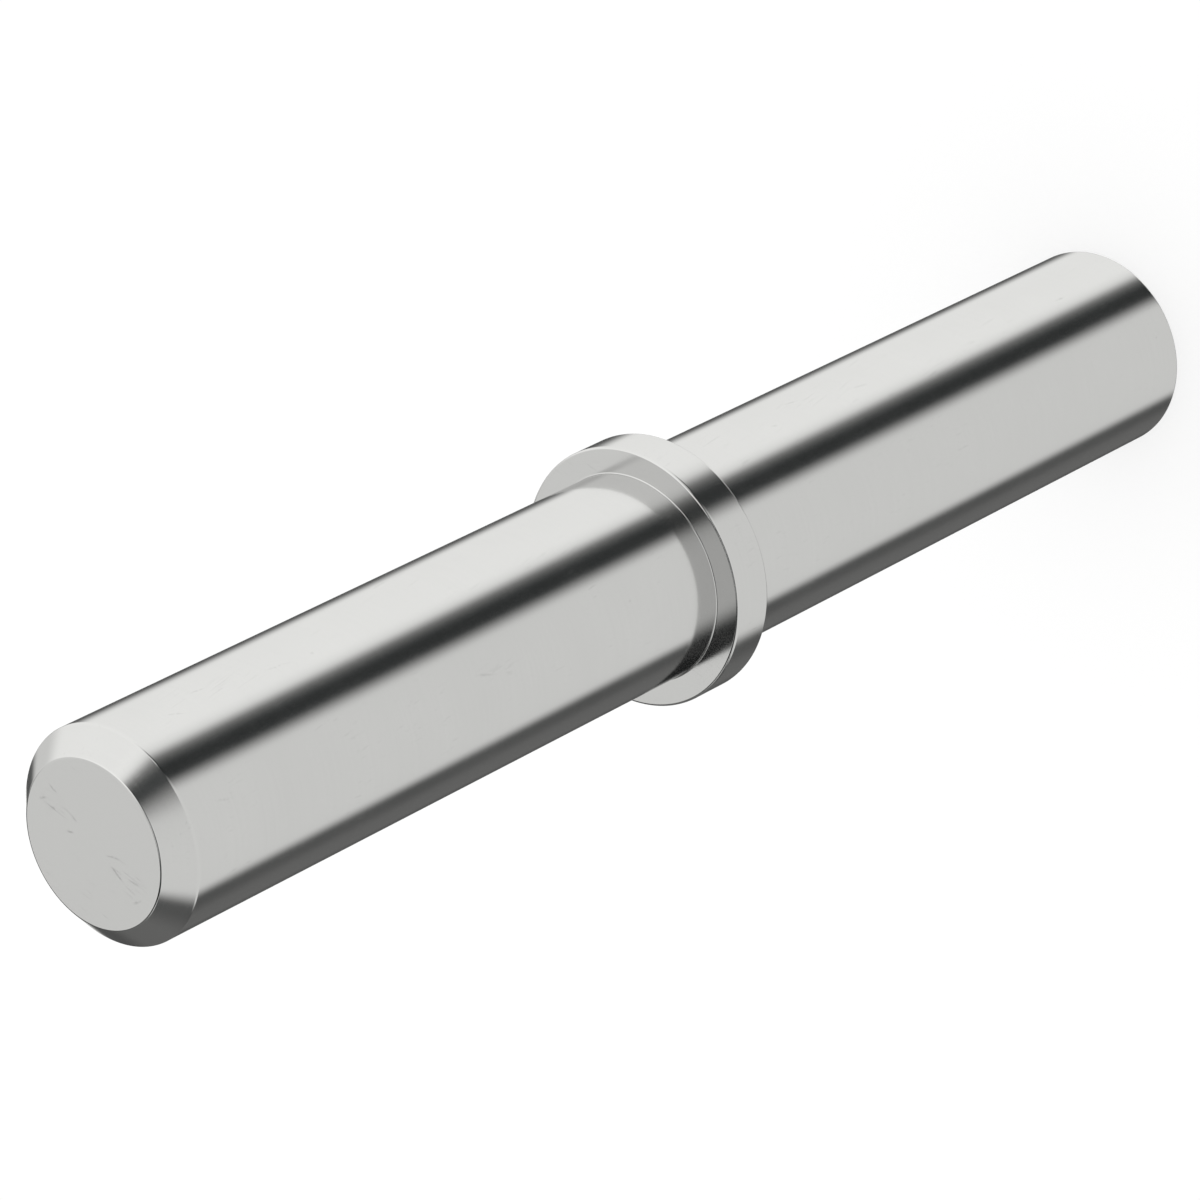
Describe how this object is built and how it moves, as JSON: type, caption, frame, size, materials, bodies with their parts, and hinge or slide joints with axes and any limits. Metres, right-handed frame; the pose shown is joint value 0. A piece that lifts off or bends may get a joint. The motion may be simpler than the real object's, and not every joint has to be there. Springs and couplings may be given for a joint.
{
  "type": "positioning pin",
  "caption": "Slim round steel positioning pin turned in one piece, with a thin collar near the middle, a plain lower shank and an upper shank with a lead-in chamfer.",
  "frame": {"origin": "centre of the flat end of the lower shank, which the pin stands on", "axes": "+Z along the pin's axis, from the plain flat end up to the chamfered end; the pin is round, so X and Y may be taken anywhere around it"},
  "size_m": [0.01, 0.01, 0.0576],
  "materials": {
    "steel": "ground and polished to a satin sheen, with fine turning marks and a few faint scratches"
  },
  "bodies": {
    "root": {"positioning_pin": "steel"}
  },
  "joints": []
}
